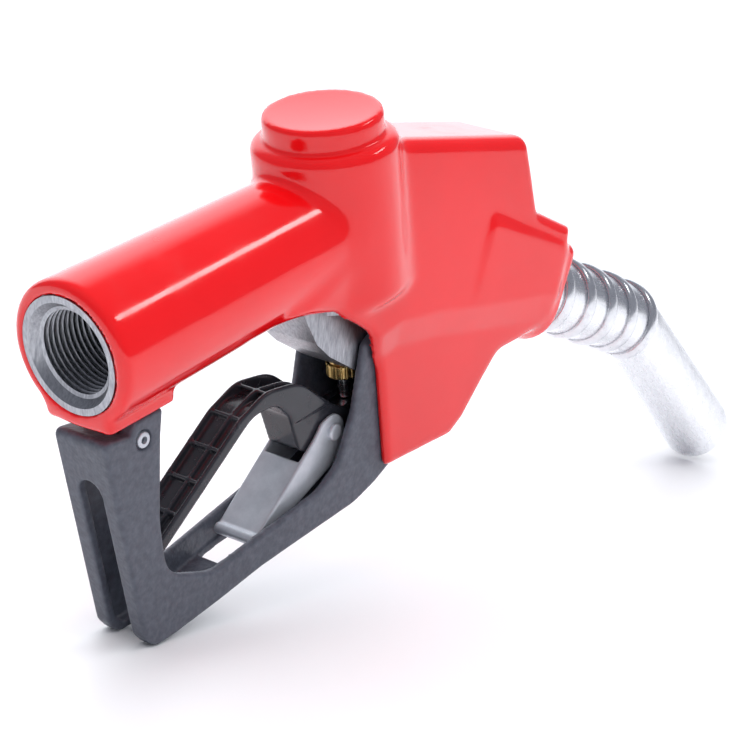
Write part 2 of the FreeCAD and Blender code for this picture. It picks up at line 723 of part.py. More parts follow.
LATCH_FLANGE = [
    (95.6, -58.6, 4), (92.6, -54.9, 4.4), (86.4, -56.2, 4), (82.4, -60.0, 2), (57.0, -77.6, 1),
    (53.4, -80.1, 1.5), (56.4, -81.6, 1), (70.5, -77.4, 3), (90.5, -70.6, 4), (96.0, -64.2, 4),
]
LATCH_ROOM = [
    (110, -40), (76.3, -40), (76.3, -65.3), (56.4, -79.4, 0.5), (59.5, -90), (110, -90),
]
LATCH_HOOK = (54.6, -80.0)


def make_latch():
    channel = plate("latch_channel", LATCH_FLANGE, "sheet.latch_width")
    room = plate("latch_room", LATCH_ROOM, "sheet.latch_width - 2 * sheet.latch_sheet")
    hole = rod("latch_hole", 1.52, 40, lateral(-20, size["latch_pin_x"], size["latch_pin_z"]))
    window = rod("latch_dimple", 1.0, 20, placed(66.8, 0, -78, pointing((-0.575, 0, 0.818))))
    half = size["latch_width"] / 2
    hook = rod("latch_hook", 1.8, "sheet.latch_width", lateral(-half, *LATCH_HOOK))
    keep(joined("latch_hooked", [less("latch_cut", channel, [room, hole, window]), hook]),
         "hold_open_latch")
    keep(turned("latch_rivet_turn", [
        (0, -half - 1.2), (2.6, -half - 1.2, 0.7), (2.6, -half - 0.05), (1.48, -half - 0.05),
        (1.48, half + 0.05), (2.6, half + 0.05), (2.6, half + 1.2, 0.7), (0, half + 1.2),
    ], lateral(0, size["latch_pin_x"], size["latch_pin_z"])), "latch_rivet")


# ---------------------------------------------------------------- guard

GUARD_OUTLINE = [
    (-0.3, -23.5, 2), (0.1, -28.0, 3), (6.2, -86.6, 3), (9.4, -91.2, 4), (19, -91.0, 20), (35, -89.1, 60),
    (53, -86.4, 60), (72, -85.0, 60), (92, -83.6, 16), (102, -80.6, 8), (112, -76.6, 8), (134, -75.2, 6),
    (141, -64.0, 6), (145.5, -46, 4), (145.5, -32.4, 3), (109, -32.4, 2),
    (101.4, -35.5, 3), (95.0, -54.6, 12), (86.6, -68.8, 10), (78.0, -73.6, 10),
    (56, -76.3, 30), (34, -79.0, 12),
    (17.4, -72.0, 9), (17.0, -55.0, 20), (20.8, -30.0, 3), (22.6, -22.0, 1), (12, -22.0), (9.8, -25.4, 1),
]
GUARD_ROOM = [
    (3.6, -34.6, 2), (8.8, -85.6, 2), (11.6, -88.8, 2), (19, -88.6, 16), (35, -86.8, 60),
    (53, -84.2, 60), (72, -82.8, 60), (91, -81.4, 14), (101, -78.4, 8), (111, -74.3, 6), (132.6, -73.0,
                                                                                          5),
    (138.4, -63.0, 5), (142.6, -45.4, 4), (142.6, -41.6), (142.6, -20), (100, -20),
    (70, -60), (30, -60), (30, -34.6),
]


def guard_plan(name, trim, bottom, height):
    """Plan of the guard: narrow at the heel, wider where it straddles the casting."""
    rear = size["guard_width_rear"] / 2 - trim
    front = size["guard_width_front"] / 2 - trim
    return flat(name, [(-5, -rear), (20, -rear), (100, -front), (160, -front),
                       (160, front), (100, front), (20, rear), (-5, rear)], bottom, str(height))


def make_guard():
    outside = common("guard_outside", [
        plate("guard_blank", GUARD_OUTLINE, "40"), guard_plan("guard_plan_outer", 0, -110, 110)])
    room = common("guard_room", [
        plate("guard_room_blank", GUARD_ROOM, "40"),
        guard_plan("guard_plan_inner", size["guard_wall"], -110, 110)])
    slot = plate("guard_rear_slot", [(-8, -42.2), (8, -42.2), (16, -95), (-8, -95)],
                 "sheet.guard_slot_width")
    slot_top = rod("guard_slot_top", "sheet.guard_slot_width / 2", 14,
                   placed(-6, 0, -42.2, pointing((1, 0, 0))))
    hook_slot = block("guard_hook_slot", 28.5, "sheet.latch_width + 1", 20, 46, -95)
    lug_room = block("guard_lug_room", 11, 10.3, 14, 8.7, -32.7)
    straddle = plate("guard_straddle", [(98, -20), (98, -46), (112, -46), (120, -42.4), (148, -42.4),
                                        (148, -20)],
                     "sheet.boss_width + 0.2")
    lug_hole = rod("guard_lug_hole", 1.6, 40, lateral(-20, *REAR_SCREW))
    head_room = rod("guard_head_room", 2.4, 1.5, lateral(-size["guard_width_rear"] / 2 - 0.1,
                                                         *REAR_SCREW))
    front_holes = [rod(f"guard_front_hole_{i}", 1.6, 40, lateral(-20, *spot))
                   for i, spot in enumerate(FRONT_SCREWS)]
    keep(less("guard_cut", outside, [room, slot, slot_top, hook_slot, lug_room, straddle, lug_hole,
                                     head_room, *front_holes]), "lever_guard")
    rear = size["guard_width_rear"] / 2
    keep(turned("rear_screw_turn", [
        (0, 1.2), (1.1, 1.2), (1.1, -0.1), (2.3, -0.1, 0.4), (2.3, 1.3), (1.5, 1.3),
        (1.5, 2 * rear - 1.0), (0, 2 * rear - 1.0),
    ], lateral(-rear, *REAR_SCREW)), "guard_rear_screw")
    front = size["guard_width_front"] / 2
    screws = []
    for index, (x, z) in enumerate(FRONT_SCREWS):
        for side in (-1, 1):
            frame = placed(x, side * front, z, pointing((0, -side, 0)))
            screws.append(turned(f"guard_front_screw_{index}_{side}", [
                (0, 0.9), (1.42, 0.9), (1.42, 8.6), (0, 8.6)], frame))
    keep(group("guard_front_screw_set", screws), "guard_front_screws")


# ---------------------------------------------------------------- outlet, check valve and spout

def spout_path(offset=0.0, start=84.0, end_trim=0.0):
    """Line, arc, line along the spout, moved sideways by offset towards its underside."""
    outward = VECTOR(*OUTLET_DIRECTION)
    tip = VECTOR(*TIP_DIRECTION)
    under_out = VECTOR(-math.sin(math.radians(size["outlet_angle"])), 0,
                       -math.cos(math.radians(size["outlet_angle"])))
    under_tip = VECTOR(-math.sin(math.radians(size["spout_tip_angle"])), 0,
                       -math.cos(math.radians(size["spout_tip_angle"])))
    turn = math.radians(size["spout_tip_angle"] - size["outlet_angle"])
    tangent = size["spout_bend_radius"] * math.tan(turn / 2)
    corner = on_outlet_axis(size["spout_bend_at"]).Base
    centre = corner - outward * tangent + under_out * size["spout_bend_radius"]
    radius = size["spout_bend_radius"] - offset
    first = on_outlet_axis(start).Base + under_out * offset
    arc_start = centre - under_out * radius
    arc_end = centre - under_tip * radius
    middle = (under_out + under_tip).normalize()
    arc_middle = centre - middle * radius
    last = corner + tip * (size["spout_tip_length"] - end_trim) + under_tip * offset
    return [Part.LineSegment(first, arc_start), Part.Arc(arc_start, arc_middle, arc_end),
            Part.LineSegment(arc_end, last)]


def pipe(name, radius, offset, start, end_trim):
    """Round bar swept along the spout's path, in the XZ plane."""
    body = document.addObject("PartDesign::Body", name)
    route = body.newObject("Sketcher::SketchObject", name + "_route")
    route.AttachmentSupport = [(origin_plane(body, "XZ_Plane"), "")]
    route.MapMode = "FlatFace"
    for edge in spout_path(offset, start, end_trim):
        flat_edge = edge.toShape()
        first, length = flat_edge.FirstParameter, flat_edge.LastParameter - flat_edge.FirstParameter
        points = [flat_edge.valueAt(first + f * length) for f in (0, 0.5, 1)]
        spots = [VECTOR(p.x, p.z, 0) for p in points]
        straight = isinstance(edge, Part.LineSegment)
        drawn = Part.LineSegment(spots[0], spots[2]) if straight else Part.Arc(*spots)
        index = route.addGeometry(drawn, False)
        route.addConstraint(Sketcher.Constraint("Block", index))
    section = body.newObject("Sketcher::SketchObject", name + "_section")
    section.AttachmentSupport = [(route, "Edge1")]
    section.MapMode = "NormalToEdge"
    section.addGeometry(Part.Circle(VECTOR(0, 0, 0), VECTOR(0, 0, 1), size_of(radius)), False)
    sweep = body.newObject("PartDesign::AdditivePipe", name + "_sweep")
    sweep.Profile = section
    sweep.Spine = route
    body.Tip = sweep
    return body


def make_outlet_group():
    bore = size["nose_bore_radius"] - 0.02
    spout = size["spout_radius"]
    seat = 70.0
    keep(turned("spout_adapter_turn", [
        (9.5, 63), (bore, 63, 0.5), (bore, 98.5), (spout + 0.04, 98.5), (spout + 0.04,
                                                                         95.2), (spout + 0.8, 95.2),
        (spout + 1.2, 93.2), (spout + 0.04, 93.2), (spout + 0.04, 83.5), (9.5, 83.5),
    ], on_outlet_axis()), "spout_adapter")
    keep(turned("spout_collar_turn", [
        (spout + 0.1, 98.7), (bore, 98.7), (bore, 101.6, 1.0), (spout + 0.1, 101.6, 0.6),
    ], on_outlet_axis()), "spout_collar")
    keep(ring("spout_seal_torus", spout + 0.42, 0.36, on_outlet_axis(94.4)), "spout_o_ring")
    keep(turned("check_seat_turn", [
        (6.0, seat - 3), (9.46, seat - 3), (9.46, seat), (7.4, seat), (6.0, seat - 1.4),
    ], on_outlet_axis()), "check_seat")
    keep(turned("check_poppet_turn", [
        (0, seat - 1.3), (5.4, seat - 1.3), (7.0, seat + 0.1), (8.2, seat + 0.1), (8.2,
                                                                                   seat + 2.2), (1.6,
                                                                                                 seat + 2.2),
        (1.6, seat + 12), (0, seat + 12),
    ], on_outlet_axis()), "check_poppet")
    spider_ring = turned("spider_ring", [(7.8, seat + 8), (9.46, seat + 8), (9.46, seat + 10),
                                         (7.8, seat + 10)],
                         on_outlet_axis())
    hub = turned("spider_hub", [(1.68, seat + 7.2), (3.4, seat + 7.2), (3.4, seat + 10.8),
                                (1.68, seat + 10.8)],
                 on_outlet_axis())
    arms = []
    for index in range(3):
        arm = document.addObject("Part::Box", f"spider_arm_{index}")
        arm.Length = 5.2
        arm.Width = 1.4
        arm.Height = 2.0
        spin = FreeCAD.Placement(VECTOR(0, 0, 0), FreeCAD.Rotation(AXIS_Z, 120 * index))
        arm.Placement = on_outlet_axis(seat + 8).multiply(spin).multiply(placed(3.0, -0.7, 0))
        arms.append(arm)
    keep(joined("check_guide_join", [spider_ring, hub, *arms]), "check_guide")
    keep(coil("check_spring_coil", 2.6, 0.3, 1.2, 3.8, on_outlet_axis(seat + 2.7)), "check_spring")
    tube = less("spout_bored", pipe("spout_bar", "sheet.spout_radius", 0, 84.0, 0),
                [pipe("spout_core", "sheet.spout_radius - sheet.spout_wall", 0, 80.0, -4.0)])
    tip_spot = on_outlet_axis(size["spout_bend_at"]).Base + VECTOR(*TIP_DIRECTION) * size["spout_tip_length"]
    tip_frame = FreeCAD.Placement(tip_spot, FreeCAD.Rotation(AXIS_Y, 90 + size["spout_tip_angle"]))
    nose_ring = turned("tip_trim", [
        (spout + 2, -6), (spout + 0.001, -6), (spout - 0.9, 0.05), (spout - 0.9, 2), (spout + 2,
                                                                                      2)], tip_frame)
    vent_hole = rod("vent_hole", 1.9, 8, tip_frame.multiply(FreeCAD.Placement(VECTOR(7, 0, -10.5),
                                                                              pointing((1, 0, 0)))))
    keep(less("spout_tube_cut", tube, [nose_ring, vent_hole]), "spout_tube")
    anchor = coil("anchor_coil", "sheet.spout_radius + 0.83", 0.74, "sheet.coil_pitch", 50.0,
                  on_outlet_axis(105.0), 1.6)
    keep(anchor, "anchor_spring")
    keep(pipe("vent_pipe", 1.5, 8.9, 86.0, 7.0), "vent_tube")


# ---------------------------------------------------------------- build and export

make_casting()
make_grip_cover()
make_cap()
make_main_valve()
make_packing_nut()
make_vacuum_group()
make_plunger()
make_lever()
make_latch()
make_guard()
make_outlet_group()
document.recompute()

tilt = FreeCAD.Placement(VECTOR(0, 0, 0), FreeCAD.Rotation(AXIS_Y, -size["stance_tilt"]))
stance = tilt.multiply(placed(-size["origin_inset"]))
for part in sub_parts:
    part.Placement = stance.multiply(part.Placement)
document.recompute()

for item in document.Objects:
    if "Invalid" in item.State or "Error" in item.State:
        raise RuntimeError(f"{item.Name} failed: {item.State}")

os.makedirs("parts", exist_ok=True)
for part in sub_parts:
    shape = part.Shape
    if shape.isNull() or not shape.isValid() or shape.Volume <= 0:
        raise RuntimeError(f"{part.Label} has no valid solid")
    shape.exportStep(f"parts/{part.Label}.step")
    print(f"{part.Label:26s} solids {len(shape.Solids)}  volume {shape.Volume:10.1f}")
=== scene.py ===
import json
import math

import bpy
import numpy as np
from mathutils import Matrix, Vector


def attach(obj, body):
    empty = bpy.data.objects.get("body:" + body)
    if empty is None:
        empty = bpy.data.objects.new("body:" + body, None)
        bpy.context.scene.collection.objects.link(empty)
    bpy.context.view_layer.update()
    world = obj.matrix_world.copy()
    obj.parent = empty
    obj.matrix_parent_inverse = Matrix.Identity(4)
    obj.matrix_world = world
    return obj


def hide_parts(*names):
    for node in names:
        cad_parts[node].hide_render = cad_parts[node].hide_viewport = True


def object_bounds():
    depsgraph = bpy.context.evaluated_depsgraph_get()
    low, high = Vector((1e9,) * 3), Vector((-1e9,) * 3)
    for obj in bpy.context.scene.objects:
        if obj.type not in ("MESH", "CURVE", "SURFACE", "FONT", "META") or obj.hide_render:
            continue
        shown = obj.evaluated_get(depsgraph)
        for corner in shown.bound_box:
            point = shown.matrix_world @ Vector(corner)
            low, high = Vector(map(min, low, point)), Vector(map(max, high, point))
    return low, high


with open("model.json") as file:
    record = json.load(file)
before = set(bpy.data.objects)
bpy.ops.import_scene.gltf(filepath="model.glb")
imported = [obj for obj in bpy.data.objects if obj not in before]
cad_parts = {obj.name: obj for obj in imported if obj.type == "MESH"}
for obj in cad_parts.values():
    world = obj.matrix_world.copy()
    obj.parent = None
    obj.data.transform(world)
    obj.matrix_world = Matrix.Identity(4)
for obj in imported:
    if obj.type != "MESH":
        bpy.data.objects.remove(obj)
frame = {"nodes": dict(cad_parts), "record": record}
cad_low, cad_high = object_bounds()

# Shapes are drawn in the handle frame, in millimetres: X along the handle towards the spout, Z along
# the cap axis, origin at the centre of the inlet face.  The row frame is that frame, moved to the
# first full thread and tilted so that the nozzle stands on its guard heel and spout tip.
MM = 0.001
ORIGIN_INSET = 3.0
inlet = next(mount for mount in frame["record"]["mounts"] if mount["name"] == "hose_inlet")
TILT = math.atan2(-inlet["axis"][2], -inlet["axis"][0])
TURN = np.array([[math.cos(TILT), 0, -math.sin(TILT)], [0, 1, 0], [math.sin(TILT), 0, math.cos(TILT)]])

CAP_AXIS = 105.2
OUTLET_START = (105.2, -1.05)
OUTLET_ANGLE = math.radians(32.0)
NOSE_END = 102.0
SPOUT_RADIUS = 11.9
SPOUT_WALL = 1.2
BEND_AT = 164.7
BEND_RADIUS = 42.0
TIP_ANGLE = math.radians(54.6)
TIP_LENGTH = 76.5
LATCH_PIN = (90.8, -60.7)
LEVER_PIVOT = (128.5, -60.0)


def to_row(points):
    """Handle frame in millimetres to row frame in metres."""
    moved = np.asarray(points, float) - np.array([ORIGIN_INSET, 0, 0])
    return (moved @ TURN.T) * MM


def turned_to_row(direction):
    return Vector(TURN @ np.asarray(direction, float))


# ---------------------------------------------------------------- distance fields

TINY = 1e-9
SMALLEST_SLOPE = 0.2
ARC_STEP = 0.15

class Grid:
    """Regular grid of sample points in the handle frame."""

    def __init__(self, low, high, step):
        self.low = np.array(low, float)
        self.step = step
        self.counts = [int(math.ceil((b - a) / step)) + 1 for a, b in zip(low, high)]
        axes = [low[i] + step * np.arange(self.counts[i]) for i in range(3)]
        self.x = axes[0][:, None, None]
        self.y = axes[1][None, :, None]
        self.z = axes[2][None, None, :]
        self.side = np.abs(self.y)


def rounded_outline(corners):
    """Closed outline through (x, z) or (x, z, radius) corners, with each radius drawn as an arc."""
    points = []
    count = len(corners)
    for index in range(count):
        here = np.array(corners[index][:2], float)
        radius = corners[index][2] if len(corners[index]) > 2 else 0.0
        back = np.array(corners[index - 1][:2], float) - here
        ahead = np.array(corners[(index + 1) % count][:2], float) - here
        back /= np.linalg.norm(back)
        ahead /= np.linalg.norm(ahead)
        half = math.acos(max(-1.0, min(1.0, float(back @ ahead)))) / 2
        if radius <= 0 or half > math.pi / 2 - 0.01:
            points.append(here)
            continue
        middle = (back + ahead) / np.linalg.norm(back + ahead)
        centre = here + middle * radius / math.sin(half)
        start = here + back * radius / math.tan(half) - centre
        end = here + ahead * radius / math.tan(half) - centre
        sweep = math.pi - 2 * half
        steps = max(3, int(sweep / ARC_STEP))
        for k in range(steps + 1):
            f = k / steps
            weight_a = math.sin((1 - f) * sweep) / math.sin(sweep)
            weight_b = math.sin(f * sweep) / math.sin(sweep)
            points.append(centre + start * weight_a + end * weight_b)
    return np.array(points)


def outline_distance(grid, corners):
    """Signed distance in the XZ plane to a closed outline, negative inside."""
    points = rounded_outline(corners)
    x = grid.x + 0 * grid.z
    z = grid.z + 0 * grid.x
    best = np.full(x.shape, np.inf)
    inside = np.zeros(x.shape, bool)
    for index in range(len(points)):
        ax, az = points[index - 1]
        bx, bz = points[index]
        dx, dz = bx - ax, bz - az
        length = dx * dx + dz * dz
        if length < TINY ** 2:
            continue
        f = np.clip(((x - ax) * dx + (z - az) * dz) / length, 0, 1)
        best = np.minimum(best, (x - ax - f * dx) ** 2 + (z - az - f * dz) ** 2)
        crosses = (az > z) != (bz > z)
        if abs(dz) > TINY:
            inside ^= crosses & (x < ax + (z - az) / dz * dx)
    distance = np.sqrt(best)
    return np.where(inside, -distance, distance)


def rounded_pair(first, second, radius):
    """Intersection of two distances with its edge rounded."""
    a = first + radius
    b = second + radius
    outside = np.sqrt(np.maximum(a, 0) ** 2 + np.maximum(b, 0) ** 2)
    return np.minimum(np.maximum(a, b), 0) + outside - radius


def blended(first, second, reach):
    """Union with a fillet about reach wide."""
    f = np.clip(0.5 + 0.5 * (second - first) / reach, 0, 1)
    return second + (first - second) * f - reach * f * (1 - f)


def overlap(*fields):
    """Intersection of distances with sharp edges."""
    result = fields[0]
    for field in fields[1:]:
        result = np.maximum(result, field)
    return result


def cut(shell, *tools):
    """A shape with the tools taken out of it."""
    for tool in tools:
        shell = np.maximum(shell, -tool)
    return shell


def upright_cylinder(grid, x, radius, low, high, edge):
    radial = np.hypot(grid.x - x, grid.y) - radius
    along = np.abs(grid.z - (low + high) / 2) - (high - low) / 2
    return rounded_pair(radial, along, edge)


def lateral_cylinder(grid, x, z, radius):
    return np.hypot(grid.x - x, grid.z - z) - radius


def outlet_coordinates(grid):
    """Distance along the outlet axis, and height above it."""
    dx = grid.x - OUTLET_START[0]
    dz = grid.z - OUTLET_START[1]
    along = dx * math.cos(OUTLET_ANGLE) - dz * math.sin(OUTLET_ANGLE)
    above = dx * math.sin(OUTLET_ANGLE) + dz * math.cos(OUTLET_ANGLE)
    return along, above


def sample(volume, grid, points):
    """Trilinear value of a volume at points."""
    place = (points - grid.low) / grid.step
    limit = np.array(volume.shape) - 1.001
    place = np.clip(place, 0, limit)
    base = place.astype(int)
    f = place - base
    i, j, k = base.T
    u, v, w = f.T
    near = volume[i, j, k] * (1 - u) + volume[i + 1, j, k] * u
    right = volume[i, j + 1, k] * (1 - u) + volume[i + 1, j + 1, k] * u
    top = volume[i, j, k + 1] * (1 - u) + volume[i + 1, j, k + 1] * u
    corner = volume[i, j + 1, k + 1] * (1 - u) + volume[i + 1, j + 1, k + 1] * u
    return (near * (1 - v) + right * v) * (1 - w) + (top * (1 - v) + corner * v) * w


def project(volume, grid, points, rounds):
    """Moves points onto the zero surface of a volume."""
    reach = grid.step * 0.5
    for _ in range(rounds):
        slope = np.zeros_like(points)
        for axis in range(3):
            shift = np.zeros(3)
            shift[axis] = reach
            rise = sample(volume, grid, points + shift) - sample(volume, grid, points - shift)
            slope[:, axis] = rise / (2 * reach)
        value = sample(volume, grid, points)
        size = np.maximum((slope ** 2).sum(1), SMALLEST_SLOPE)
        move = -(value / size)[:, None] * slope
        length = np.maximum(np.linalg.norm(move, axis=1), TINY)
        points = points + move * np.minimum(1, reach / length)[:, None]
    return points


def surface(volume, grid):
    """Quad mesh of the zero surface: one vertex per crossed cell, evened out and projected back."""
    inside = volume < 0
    count = np.zeros(tuple(n - 1 for n in volume.shape), np.int8)
    ends = [n - 1 for n in volume.shape]
    for i in (0, 1):
        for j in (0, 1):
            for k in (0, 1):
                count += inside[i:ends[0] + i, j:ends[1] + j, k:ends[2] + k]
    active = (count > 0) & (count < 8)
    cells = np.argwhere(active)
    index = np.full(active.shape, -1, np.int64)
    index[tuple(cells.T)] = np.arange(len(cells))
    total = np.zeros((len(cells), 3))
    hits = np.zeros(len(cells))
    for axis in range(3):
        others = [a for a in range(3) if a != axis]
        for first in (0, 1):
            for second in (0, 1):
                start = np.zeros(3, int)
                start[others[0]] = first
                start[others[1]] = second
                end = start.copy()
                end[axis] = 1
                a = volume[tuple((cells + start).T)]
                b = volume[tuple((cells + end).T)]
                crossed = (a < 0) != (b < 0)
                f = np.where(crossed, a / np.where(crossed, a - b, 1), 0)
                spot = start + f[:, None] * (end - start)
                total += np.where(crossed[:, None], spot, 0)
                hits += crossed
    points = grid.low + grid.step * (cells + total / hits[:, None])
    quads = []
    for axis in range(3):
        one, two = (axis + 1) % 3, (axis + 2) % 3
        low = [slice(None)] * 3
        high = [slice(None)] * 3
        low[axis] = slice(0, -1)
        high[axis] = slice(1, None)
        crossed = np.argwhere(inside[tuple(low)] != inside[tuple(high)])
        keep = (crossed[:, one] > 0) & (crossed[:, two] > 0)
        keep &= (crossed[:, one] < volume.shape[one] - 1) & (crossed[:, two] < volume.shape[two] - 1)
        crossed = crossed[keep]
        ring = []
        for step_one, step_two in ((-1, -1), (0, -1), (0, 0), (-1, 0)):
            cell = crossed.copy()
            cell[:, one] += step_one
            cell[:, two] += step_two
            ring.append(index[tuple(cell.T)])
        ring = np.stack(ring, 1)
        outward = inside[tuple(crossed.T)]
        quads.append(np.where(outward[:, None], ring, ring[:, ::-1]))
    quads = np.concatenate(quads)
    points = project(volume, grid, points, 2)
    pairs = np.concatenate([quads[:, [0, 1]], quads[:, [1, 2]], quads[:, [2, 3]], quads[:, [3, 0]]])
    for _ in range(2):
        summed = np.zeros_like(points)
        np.add.at(summed, pairs[:, 0], points[pairs[:, 1]])
        np.add.at(summed, pairs[:, 1], points[pairs[:, 0]])
        degree = np.bincount(pairs.ravel(), minlength=len(points))
        points = points + 0.5 * (summed / degree[:, None] - points)
        points = project(volume, grid, points, 2)
    return points, quads


def new_piece(name, points, faces, material, body, replaced):
    """Mesh object from points in the handle frame and faces of equal size."""
    mesh = bpy.data.meshes.new(name)
    place = to_row(points)
    faces = np.asarray(faces)
    corners = faces.shape[1]
    mesh.vertices.add(len(place))
    mesh.vertices.foreach_set("co", place.astype(np.float32).ravel())
    mesh.loops.add(faces.size)
    mesh.loops.foreach_set("vertex_index", faces.astype(np.int32).ravel())
    mesh.polygons.add(len(faces))
    mesh.polygons.foreach_set("loop_start", np.arange(0, faces.size, corners, dtype=np.int32))
    mesh.polygons.foreach_set("use_smooth", np.ones(len(faces), bool))
    mesh.update(calc_edges=True)
    mesh.validate()
    piece = bpy.data.objects.new(name, mesh)
    bpy.context.scene.collection.objects.link(piece)
    mesh.materials.append(material)
    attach(piece, body)
    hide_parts(*replaced)


# ---------------------------------------------------------------- materials

class Nodes:
    """Short helper for a material's node tree."""

    def __init__(self, name):
        self.material = bpy.data.materials.new(name)
        self.material.use_nodes = True
        self.tree = self.material.node_tree
        self.tree.nodes.clear()
        self.output = self.add("ShaderNodeOutputMaterial")
        self.shader = self.add("ShaderNodeBsdfPrincipled")
        self.link(self.shader, "BSDF", self.output, "Surface")
        self.place = self.add("ShaderNodeTexCoord")

    def add(self, kind, **inputs):
        node = self.tree.nodes.new(kind)
        for key, value in inputs.items():
            node.inputs[key.replace("_", " ")].default_value = value
        return node

    def link(self, source, output, target, entry):
        self.tree.links.new(source.outputs[output], target.inputs[entry])

    def stretched(self, scale):
        mapping = self.add("ShaderNodeMapping")
        mapping.inputs["Scale"].default_value = scale
        self.link(self.place, "Object", mapping, "Vector")
        return mapping

    def noise(self, scale, detail=4.0, rough=0.5, stretch=None):
        node = self.add("ShaderNodeTexNoise", Scale=scale, Detail=detail, Roughness=rough)
        if stretch:
            self.link(self.stretched(stretch), "Vector", node, "Vector")
        else:
            self.link(self.place, "Object", node, "Vector")
        return node

    def ramp(self, source, output, stops):
        node = self.add("ShaderNodeValToRGB")
        node.color_ramp.elements[0].position = stops[0][0]
        node.color_ramp.elements[0].color = stops[0][1]
        node.color_ramp.elements[1].position = stops[-1][0]
        node.color_ramp.elements[1].color = stops[-1][1]
        for position, colour in stops[1:-1]:
            node.color_ramp.elements.new(position).color = colour
        self.link(source, output, node, "Fac")
        return node

    def bump(self, source, output, strength, distance, below=None):
        node = self.add("ShaderNodeBump", Strength=strength, Distance=distance)
        self.link(source, output, node, "Height")
        if below:
            self.link(below, "Normal", node, "Normal")
        return node


def grey(value, alpha=1.0):
    return (value, value, value, alpha)


def make_vinyl():
    """Gloss red dipped vinyl: clouded colour, soft ripples, and fine scuffs that dull the gloss."""
    n = Nodes("red_vinyl")
    cloud = n.noise(22.0, 3.0)
    colour = n.ramp(cloud, "Fac", [(0.3, (0.80, 0.0015, 0.003, 1)), (0.7, (0.90, 0.004, 0.007, 1))])
    n.link(colour, "Color", n.shader, "Base Color")
    scuffs = n.noise(60.0, 6.0, 0.65, (1.0, 1.0, 0.16))
    rough = n.ramp(scuffs, "Fac", [(0.45, grey(0.10)), (0.62, grey(0.16)), (0.75, grey(0.30))])
    n.link(rough, "Color", n.shader, "Roughness")
    ripple = n.noise(28.0, 2.0)
    soft = n.bump(ripple, "Fac", 0.18, 0.0012)
    fine = n.bump(n.noise(420.0, 3.0), "Fac", 0.05, 0.0002, soft)
    scratch = n.bump(scuffs, "Fac", 0.06, 0.0003, fine)
    n.link(scratch, "Normal", n.shader, "Normal")
    n.shader.inputs["IOR"].default_value = 1.5
    n.shader.inputs["Coat Weight"].default_value = 0.35
    n.shader.inputs["Coat Roughness"].default_value = 0.06
    return n.material


def make_guard_plastic():
    """Slate black nylon with a fine leather grain."""
    n = Nodes("grained_nylon")
    grain = n.add("ShaderNodeTexVoronoi", Scale=900.0)
    n.link(n.place, "Object", grain, "Vector")
    patches = n.noise(500.0, 3.0)
    tone = n.ramp(patches, "Fac", [(0.35, (0.070, 0.077, 0.100, 1)), (0.7, (0.105, 0.114, 0.145, 1))])
    n.link(tone, "Color", n.shader, "Base Color")
    rough = n.ramp(n.noise(35.0, 3.0), "Fac", [(0.3, grey(0.38)), (0.7, grey(0.50))])
    n.link(rough, "Color", n.shader, "Roughness")
    cells = n.bump(grain, "Distance", 0.35, 0.00025)
    fine = n.bump(patches, "Fac", 0.35, 0.0003, cells)
    n.link(fine, "Normal", n.shader, "Normal")
    return n.material


def make_lever_plastic():
    """Gloss black moulded plastic with faint flow marks and dust."""
    n = Nodes("gloss_black")
    flow = n.noise(40.0, 3.0, 0.5, (1.0, 1.0, 3.0))
    tone = n.ramp(flow, "Fac", [(0.3, (0.018, 0.019, 0.024, 1)), (0.7, (0.030, 0.031, 0.040, 1))])
    n.link(tone, "Color", n.shader, "Base Color")
    dust = n.noise(260.0, 5.0, 0.7)
    rough = n.ramp(dust, "Fac", [(0.45, grey(0.16)), (0.72, grey(0.36))])
    n.link(rough, "Color", n.shader, "Roughness")
    n.link(n.bump(flow, "Fac", 0.08, 0.0008), "Normal", n.shader, "Normal")
    return n.material


def make_metal(name, dark, light, scale, rough_low, rough_high, stretch=None, bump=0.05, depth=0.0002):
    """Metal whose tone and roughness vary with one noise; stretch draws it out into lines."""
    n = Nodes(name)
    marks = n.noise(scale, 5.0, 0.6, stretch)
    tone = n.ramp(marks, "Fac", [(0.3, dark), (0.7, light)])
    n.link(tone, "Color", n.shader, "Base Color")
    rough = n.ramp(marks, "Fac", [(0.3, grey(rough_high)), (0.7, grey(rough_low))])
    n.link(rough, "Color", n.shader, "Roughness")
    n.link(n.bump(marks, "Fac", bump, depth), "Normal", n.shader, "Normal")
    n.shader.inputs["Metallic"].default_value = 1.0
    return n.material


def make_zinc():
    """Zinc-plated sheet: mottled grey with small bright and dark specks."""
    n = Nodes("zinc_plate")
    mottle = n.noise(120.0, 5.0, 0.65)
    specks = n.noise(1500.0, 2.0)
    tone = n.ramp(mottle, "Fac", [(0.3, (0.50, 0.53, 0.58, 1)), (0.7, (0.66, 0.69, 0.74, 1))])
    n.link(tone, "Color", n.shader, "Base Color")
    rough = n.ramp(specks, "Fac", [(0.3, grey(0.46)), (0.7, grey(0.30))])
    n.link(rough, "Color", n.shader, "Roughness")
    waves = n.bump(mottle, "Fac", 0.15, 0.0004)
    n.link(n.bump(specks, "Fac", 0.12, 0.0001, waves), "Normal", n.shader, "Normal")
    n.shader.inputs["Metallic"].default_value = 0.55
    return n.material


def make_rubber():
    """Dull black rubber with faint bloom."""
    n = Nodes("nitrile_rubber")
    spots = n.noise(300.0, 4.0)
    tone = n.ramp(spots, "Fac", [(0.3, grey(0.012)), (0.7, grey(0.022))])
    n.link(tone, "Color", n.shader, "Base Color")
    rough = n.ramp(spots, "Fac", [(0.3, grey(0.55)), (0.7, grey(0.7))])
    n.link(rough, "Color", n.shader, "Roughness")
    return n.material


